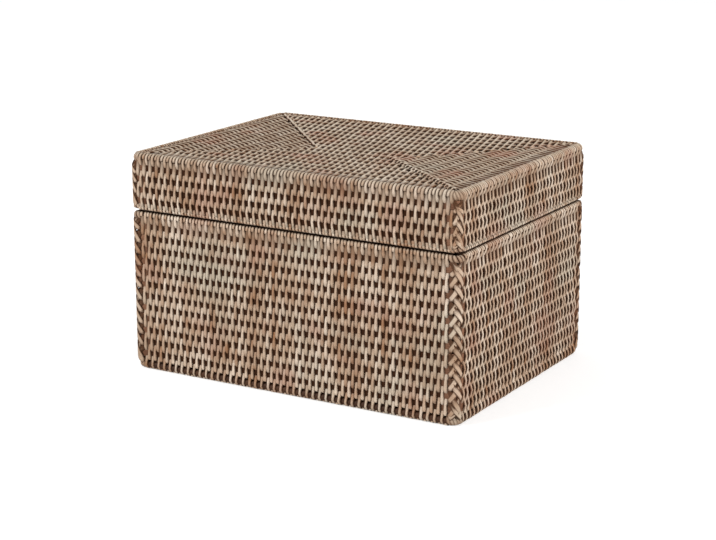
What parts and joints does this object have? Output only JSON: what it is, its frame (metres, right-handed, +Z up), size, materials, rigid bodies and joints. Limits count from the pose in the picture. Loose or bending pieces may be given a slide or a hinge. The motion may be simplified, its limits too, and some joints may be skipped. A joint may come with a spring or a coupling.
{
  "type": "woven lidded box",
  "caption": "Rectangular rattan box woven of split cane strips over flat slats, with laced corners, wrapped rims and a deep lift-off lid that an inner lip keeps in place.",
  "frame": {"origin": "middle of the underside, on the surface that the box stands on", "axes": "+X along the length to the right, +Y from the front to the rear, +Z up"},
  "size_m": [0.3, 0.226, 0.1812],
  "materials": {
    "strips": "split cane, greyish tan, satin",
    "slats": "cane slat, brown, satin",
    "cane": "round cane, brown, satin",
    "lacing": "split cane, tan, satin",
    "lip": "wooden batten, brown, matt"
  },
  "bodies": {
    "base": {"base_foot_cane": "cane", "base_rim_cane": "cane", "base_floor_weave": "strips", "base_slat_01": "slats", "base_slat_02": "slats", "base_slat_03": "slats", "base_slat_04": "slats", "base_slat_05": "slats", "base_slat_06": "slats", "base_slat_07": "slats", "base_slat_08": "slats", "base_slat_09": "slats", "base_slat_10": "slats", "base_slat_11": "slats", "base_slat_12": "slats", "base_post_front_left": "cane", "base_lacing_front_left": "lacing", "base_post_front_right": "cane", "base_lacing_front_right": "lacing", "base_post_rear_right": "cane", "base_lacing_rear_right": "lacing", "base_post_rear_left": "cane", "base_lacing_rear_left": "lacing", "base_front_weave": "strips", "lip_front": "lip", "base_right_weave": "strips", "lip_right": "lip", "base_rear_weave": "strips", "lip_rear": "lip", "base_left_weave": "strips", "lip_left": "lip"},
    "lid": {"lid_rim_cane": "cane", "lid_edge_cane": "cane", "lid_slat_01": "slats", "lid_slat_02": "slats", "lid_slat_03": "slats", "lid_slat_04": "slats", "lid_post_front_left": "cane", "lid_lacing_front_left": "lacing", "lid_hip_cane_front_left": "cane", "lid_post_front_right": "cane", "lid_lacing_front_right": "lacing", "lid_hip_cane_front_right": "cane", "lid_post_rear_right": "cane", "lid_lacing_rear_right": "lacing", "lid_hip_cane_rear_right": "cane", "lid_post_rear_left": "cane", "lid_lacing_rear_left": "lacing", "lid_hip_cane_rear_left": "cane", "lid_front_weave": "strips", "lid_right_weave": "strips", "lid_rear_weave": "strips", "lid_left_weave": "strips", "lid_top_middle_weave": "strips", "lid_top_left_weave": "strips", "lid_top_right_weave": "strips"}
  },
  "joints": [
    {"name": "lid_lift", "type": "slide", "parent": "base", "child": "lid", "axis": [0, 0, 1], "range_m": [0, 0.15]}
  ]
}
